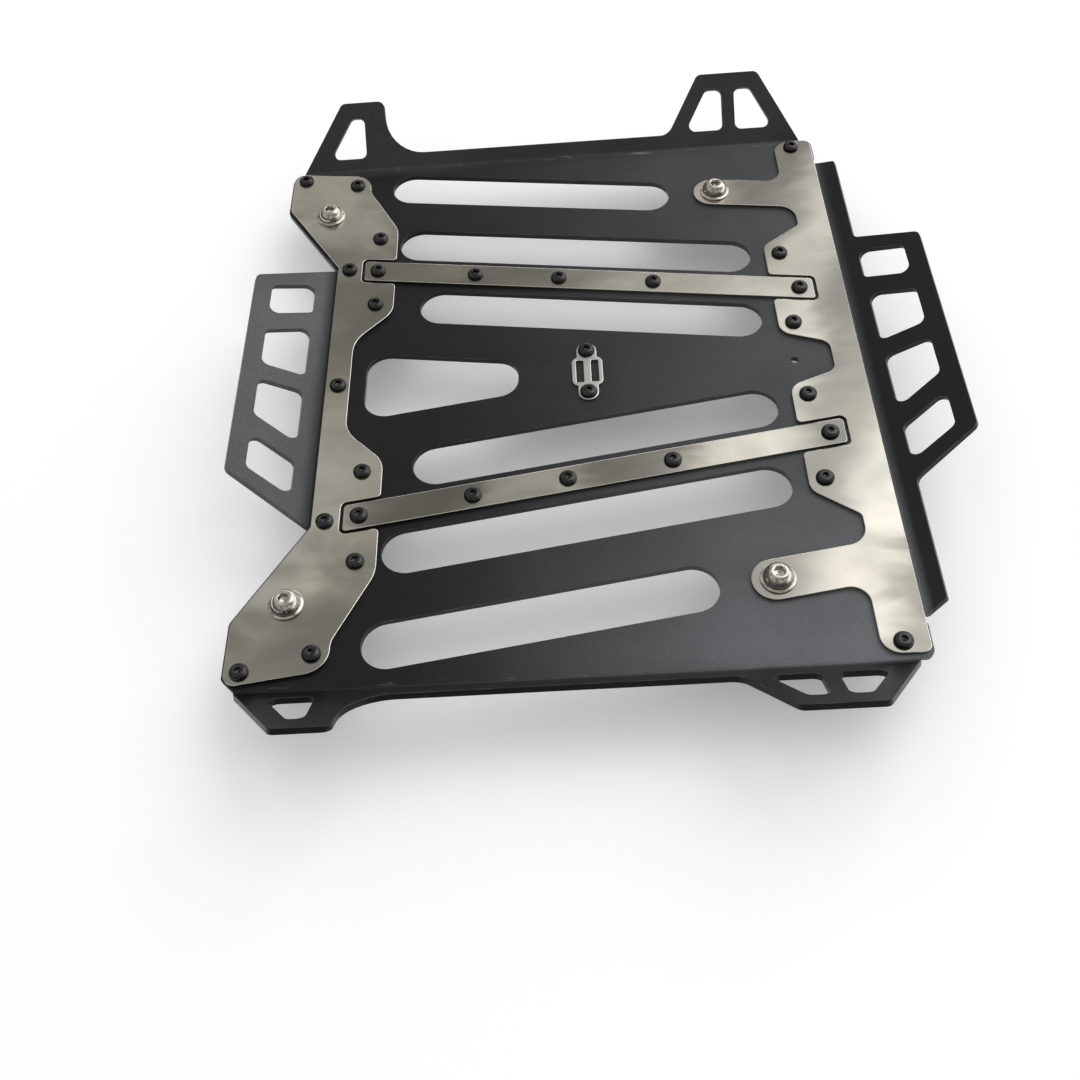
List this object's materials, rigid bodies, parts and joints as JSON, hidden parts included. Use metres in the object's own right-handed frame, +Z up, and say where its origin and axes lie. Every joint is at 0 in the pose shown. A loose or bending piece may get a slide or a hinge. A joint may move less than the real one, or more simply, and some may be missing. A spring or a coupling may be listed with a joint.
{
  "type": "motorcycle luggage rack",
  "caption": "Flat luggage rack deck of folded black sheet with raised end wings and side ears, lashing slots, polished trims and straps, and four mounting bolts on spacers.",
  "frame": {"origin": "middle of the four mounting bolts, in the plane where the spacers stand on the panel", "axes": "+X rearward, +Y to the motorcycle's right-hand side, +Z up out of the deck"},
  "size_m": [0.3836, 0.4556, 0.0622],
  "materials": {
    "powder_coat": "satin",
    "polished_trim": "polished",
    "badge_steel": "satin",
    "bright_bolt": "polished",
    "black_screw": "satin",
    "zinc_steel": "satin",
    "spacer_rubber": "matte"
  },
  "bodies": {
    "root": {"deck_plate": "powder_coat", "front_trim": "polished_trim", "rear_trim": "polished_trim", "right_strap": "polished_trim", "left_strap": "polished_trim", "badge_plate": "badge_steel", "front_right_bolt": "bright_bolt", "front_left_bolt": "bright_bolt", "rear_right_bolt": "bright_bolt", "rear_left_bolt": "bright_bolt", "front_right_spacer": "spacer_rubber", "front_left_spacer": "spacer_rubber", "rear_right_spacer": "spacer_rubber", "rear_left_spacer": "spacer_rubber", "front_right_washer": "zinc_steel", "front_left_washer": "zinc_steel", "rear_right_washer": "zinc_steel", "rear_left_washer": "zinc_steel", "front_right_lock_nut": "zinc_steel", "front_left_lock_nut": "zinc_steel", "rear_right_lock_nut": "zinc_steel", "rear_left_lock_nut": "zinc_steel", "front_trim_screws": "black_screw", "rear_trim_screws": "black_screw", "right_strap_screws": "black_screw", "left_strap_screws": "black_screw", "badge_screws_pair": "black_screw", "front_trim_nuts": "zinc_steel", "rear_trim_nuts": "zinc_steel", "right_strap_nuts": "zinc_steel", "left_strap_nuts": "zinc_steel", "badge_nuts": "zinc_steel"}
  },
  "joints": []
}
